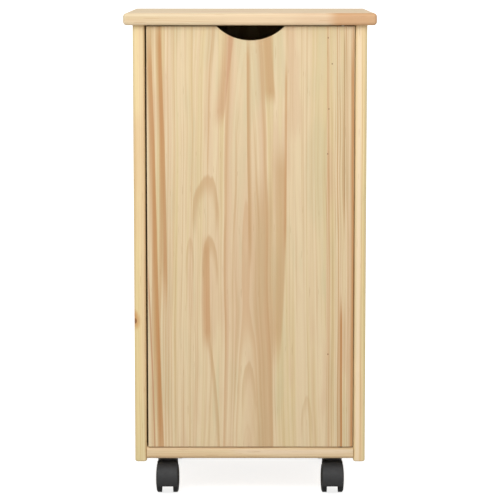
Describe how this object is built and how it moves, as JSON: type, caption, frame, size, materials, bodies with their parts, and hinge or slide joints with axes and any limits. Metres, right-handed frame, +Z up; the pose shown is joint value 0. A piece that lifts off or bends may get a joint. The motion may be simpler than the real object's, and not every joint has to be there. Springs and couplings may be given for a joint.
{
  "type": "rolling cabinet",
  "caption": "Narrow wooden storage cabinet on swivelling twin-wheel casters, with one inset hinged door that has a half-moon finger cut-out, and shelves inside.",
  "frame": {"origin": "on the floor, under the middle of the top board", "axes": "+Z up, the door faces -Y, +X to the right of a person who faces the door"},
  "size_m": [0.42, 0.38, 0.815],
  "materials": {
    "pine": "clear satin lacquer on edge-glued pine",
    "pine_top": "clear satin lacquer on edge-glued pine",
    "pine_door": "clear satin lacquer on edge-glued pine",
    "plywood": "sanded, unfinished",
    "beech_dowel": "plain",
    "zinc_steel": "zinc plated",
    "die_cast_zinc": "as cast",
    "nylon": "moulded",
    "brown_plastic": "moulded",
    "magnet": "sintered",
    "hood_plastic": "moulded, fine satin",
    "wheel_plastic": "moulded nylon"
  },
  "bodies": {
    "cabinet": {"top_board": "pine_top", "side_panel_left": "pine", "side_panel_right": "pine", "bottom_board": "pine", "back_panel": "plywood", "lower_shelf": "pine", "upper_shelf": "pine", "shelf_pins": "zinc_steel", "corner_dowels": "beech_dowel", "cam_bolts": "zinc_steel", "cam_locks": "die_cast_zinc", "back_panel_nails": "zinc_steel", "top_pivot_bush": "nylon", "bottom_pivot_bush": "nylon", "catch_housing": "brown_plastic", "catch_magnet": "magnet", "catch_pole_plates": "zinc_steel", "catch_screws": "zinc_steel", "caster_screws": "zinc_steel", "front_left_caster_plate": "zinc_steel", "front_left_caster_stem": "zinc_steel", "front_left_caster_snap_ring": "zinc_steel", "front_right_caster_plate": "zinc_steel", "front_right_caster_stem": "zinc_steel", "front_right_caster_snap_ring": "zinc_steel", "rear_left_caster_plate": "zinc_steel", "rear_left_caster_stem": "zinc_steel", "rear_left_caster_snap_ring": "zinc_steel", "rear_right_caster_plate": "zinc_steel", "rear_right_caster_stem": "zinc_steel", "rear_right_caster_snap_ring": "zinc_steel"},
    "door": {"door_panel": "pine_door", "top_pivot_pin": "zinc_steel", "bottom_pivot_pin": "zinc_steel", "strike_plate": "zinc_steel", "strike_screws": "zinc_steel"},
    "front_left_swivel": {"front_left_caster_hood": "hood_plastic", "front_left_caster_axle": "zinc_steel"},
    "front_left_left_wheel": {"front_left_caster_left_wheel": "wheel_plastic"},
    "front_left_right_wheel": {"front_left_caster_right_wheel": "wheel_plastic"},
    "front_right_swivel": {"front_right_caster_hood": "hood_plastic", "front_right_caster_axle": "zinc_steel"},
    "front_right_left_wheel": {"front_right_caster_left_wheel": "wheel_plastic"},
    "front_right_right_wheel": {"front_right_caster_right_wheel": "wheel_plastic"},
    "rear_left_swivel": {"rear_left_caster_hood": "hood_plastic", "rear_left_caster_axle": "zinc_steel"},
    "rear_left_left_wheel": {"rear_left_caster_left_wheel": "wheel_plastic"},
    "rear_left_right_wheel": {"rear_left_caster_right_wheel": "wheel_plastic"},
    "rear_right_swivel": {"rear_right_caster_hood": "hood_plastic", "rear_right_caster_axle": "zinc_steel"},
    "rear_right_left_wheel": {"rear_right_caster_left_wheel": "wheel_plastic"},
    "rear_right_right_wheel": {"rear_right_caster_right_wheel": "wheel_plastic"}
  },
  "joints": [
    {"name": "door_hinge", "type": "hinge", "parent": "cabinet", "child": "door", "pos_m": [0.1543, -0.168, 0.438], "axis": [0, 0, 1], "range_deg": [0, 135]},
    {"name": "front_left_caster_swivel", "type": "hinge", "parent": "cabinet", "child": "front_left_swivel", "pos_m": [-0.1405, -0.133, 0.05], "axis": [0, 0, 1], "continuous": true},
    {"name": "front_left_caster_left_wheel_spin", "type": "hinge", "parent": "front_left_swivel", "child": "front_left_left_wheel", "pos_m": [-0.1405, -0.153, 0.025], "axis": [1, 0, 0], "continuous": true},
    {"name": "front_left_caster_right_wheel_spin", "type": "hinge", "parent": "front_left_swivel", "child": "front_left_right_wheel", "pos_m": [-0.1405, -0.153, 0.025], "axis": [1, 0, 0], "continuous": true},
    {"name": "front_right_caster_swivel", "type": "hinge", "parent": "cabinet", "child": "front_right_swivel", "pos_m": [0.1405, -0.133, 0.05], "axis": [0, 0, 1], "continuous": true},
    {"name": "front_right_caster_left_wheel_spin", "type": "hinge", "parent": "front_right_swivel", "child": "front_right_left_wheel", "pos_m": [0.1405, -0.153, 0.025], "axis": [1, 0, 0], "continuous": true},
    {"name": "front_right_caster_right_wheel_spin", "type": "hinge", "parent": "front_right_swivel", "child": "front_right_right_wheel", "pos_m": [0.1405, -0.153, 0.025], "axis": [1, 0, 0], "continuous": true},
    {"name": "rear_left_caster_swivel", "type": "hinge", "parent": "cabinet", "child": "rear_left_swivel", "pos_m": [-0.1405, 0.133, 0.05], "axis": [0, 0, 1], "continuous": true},
    {"name": "rear_left_caster_left_wheel_spin", "type": "hinge", "parent": "rear_left_swivel", "child": "rear_left_left_wheel", "pos_m": [-0.1405, 0.113, 0.025], "axis": [1, 0, 0], "continuous": true},
    {"name": "rear_left_caster_right_wheel_spin", "type": "hinge", "parent": "rear_left_swivel", "child": "rear_left_right_wheel", "pos_m": [-0.1405, 0.113, 0.025], "axis": [1, 0, 0], "continuous": true},
    {"name": "rear_right_caster_swivel", "type": "hinge", "parent": "cabinet", "child": "rear_right_swivel", "pos_m": [0.1405, 0.133, 0.05], "axis": [0, 0, 1], "continuous": true},
    {"name": "rear_right_caster_left_wheel_spin", "type": "hinge", "parent": "rear_right_swivel", "child": "rear_right_left_wheel", "pos_m": [0.1405, 0.113, 0.025], "axis": [1, 0, 0], "continuous": true},
    {"name": "rear_right_caster_right_wheel_spin", "type": "hinge", "parent": "rear_right_swivel", "child": "rear_right_right_wheel", "pos_m": [0.1405, 0.113, 0.025], "axis": [1, 0, 0], "continuous": true}
  ]
}
